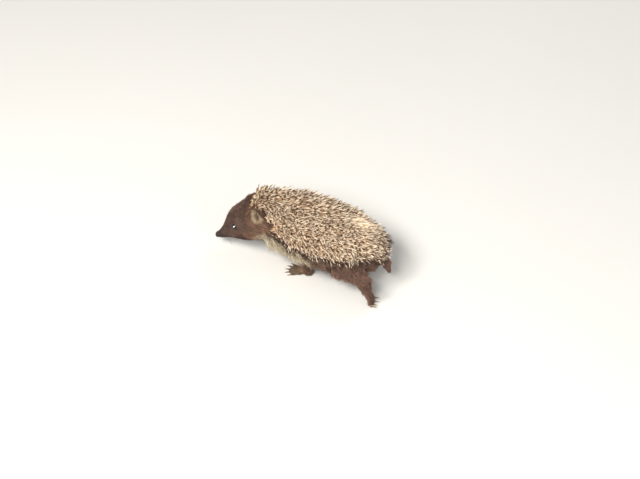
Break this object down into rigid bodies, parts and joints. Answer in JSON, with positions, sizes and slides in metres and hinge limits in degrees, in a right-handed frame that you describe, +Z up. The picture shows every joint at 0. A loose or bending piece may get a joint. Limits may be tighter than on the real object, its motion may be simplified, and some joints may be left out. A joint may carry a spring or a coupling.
{
  "type": "hedgehog",
  "caption": "Life-size hedgehog in the middle of a step: spiny back, furry face, pale breast, small rounded ears, short legs with slim claws.",
  "frame": {"origin": "on the floor, below the middle of the animal's length and width", "axes": "+Z up, the head points towards -X and the animal's left side faces -Y"},
  "size_m": [0.2124, 0.09, 0.0881],
  "materials": {
    "spines": "satin",
    "face_fur": "matte",
    "leg_fur": "matte",
    "ear_skin": "matte",
    "claws": "satin",
    "nose_skin": "satin",
    "eyes": "gloss"
  },
  "bodies": {
    "root": {"foreleg_left": "leg_fur", "forefoot_left": "leg_fur", "claw_forefoot_left_inner": "claws", "claw_forefoot_left_second": "claws", "claw_forefoot_left_middle": "claws", "claw_forefoot_left_fourth": "claws", "claw_forefoot_left_outer": "claws", "foreleg_right": "leg_fur", "forefoot_right": "leg_fur", "claw_forefoot_right_inner": "claws", "claw_forefoot_right_second": "claws", "claw_forefoot_right_middle": "claws", "claw_forefoot_right_fourth": "claws", "claw_forefoot_right_outer": "claws", "hind_leg_left": "leg_fur", "hind_foot_left": "leg_fur", "claw_hind_foot_left_inner": "claws", "claw_hind_foot_left_second": "claws", "claw_hind_foot_left_middle": "claws", "claw_hind_foot_left_fourth": "claws", "claw_hind_foot_left_outer": "claws", "hind_leg_right": "leg_fur", "hind_foot_right": "leg_fur", "claw_hind_foot_right_inner": "claws", "claw_hind_foot_right_second": "claws", "claw_hind_foot_right_middle": "claws", "claw_hind_foot_right_fourth": "claws", "claw_hind_foot_right_outer": "claws", "head": "face_fur", "neck": "spines", "shoulders": "spines", "loin": "spines", "rump": "spines", "tail": "leg_fur", "eye_left": "eyes", "ear_left": "ear_skin", "eye_right": "eyes", "ear_right": "ear_skin", "nose": "nose_skin"}
  },
  "joints": []
}
